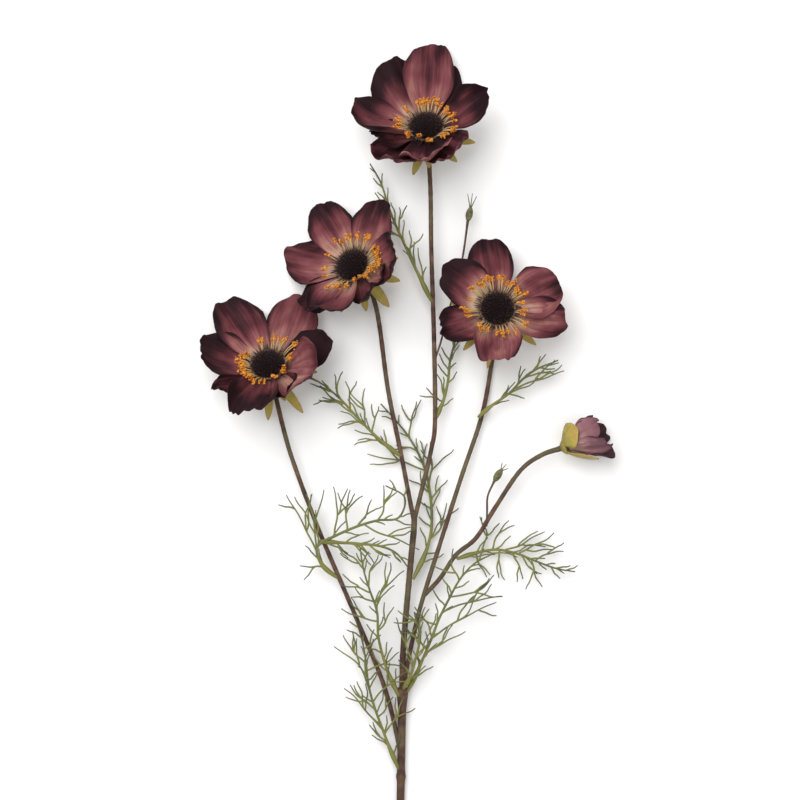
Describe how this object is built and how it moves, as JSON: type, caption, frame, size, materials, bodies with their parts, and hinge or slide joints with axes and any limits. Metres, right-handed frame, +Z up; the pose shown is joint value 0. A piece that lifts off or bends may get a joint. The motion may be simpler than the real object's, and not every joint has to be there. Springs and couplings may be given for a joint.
{
  "type": "anemone flower",
  "caption": "Branched anemone spray lying flat: open blooms with dark domed centres, an opening bud, seed-like small buds and feathery fronds on one cut stem.",
  "frame": {"origin": "middle of the spray's bounding box, on the surface that it lies on", "axes": "+Y along the stem from its cut end toward the top bloom, +Z up from the surface, +X to the right seen from above"},
  "size_m": [0.2452, 0.4748, 0.0574],
  "materials": {
    "stem": "matt, flocked brown with an olive tinge, maroon at the forks",
    "petals": "matt dusky burgundy cloth, darker at tips and edges, pale toward the middle",
    "bud_petals": "matt pale mauve cloth",
    "dome": "near-black maroon velvet with short bristles",
    "stamens": "tan threads with orange granular ends",
    "calyx": "matt yellow-green",
    "frond": "matt olive green, darker at the tips",
    "small_bud": "matt olive brown"
  },
  "bodies": {
    "root": {"stem": "stem", "bloom_1_petals": "petals", "bloom_1_dome": "dome", "bloom_1_stamens": "stamens", "bloom_1_calyx": "calyx", "bloom_2_petals": "petals", "bloom_2_dome": "dome", "bloom_2_stamens": "stamens", "bloom_2_calyx": "calyx", "bloom_3_petals": "petals", "bloom_3_dome": "dome", "bloom_3_stamens": "stamens", "bloom_3_calyx": "calyx", "bloom_4_petals": "petals", "bloom_4_dome": "dome", "bloom_4_stamens": "stamens", "bloom_4_calyx": "calyx", "bud_petals": "bud_petals", "bud_calyx": "calyx", "small_bud_1": "small_bud", "small_bud_2": "small_bud", "frond_1": "frond", "frond_2": "frond", "frond_3": "frond", "frond_4": "frond", "frond_5": "frond", "frond_6": "frond", "frond_7": "frond", "frond_8": "frond", "frond_9": "frond", "frond_10": "frond", "frond_11": "frond"}
  },
  "joints": []
}
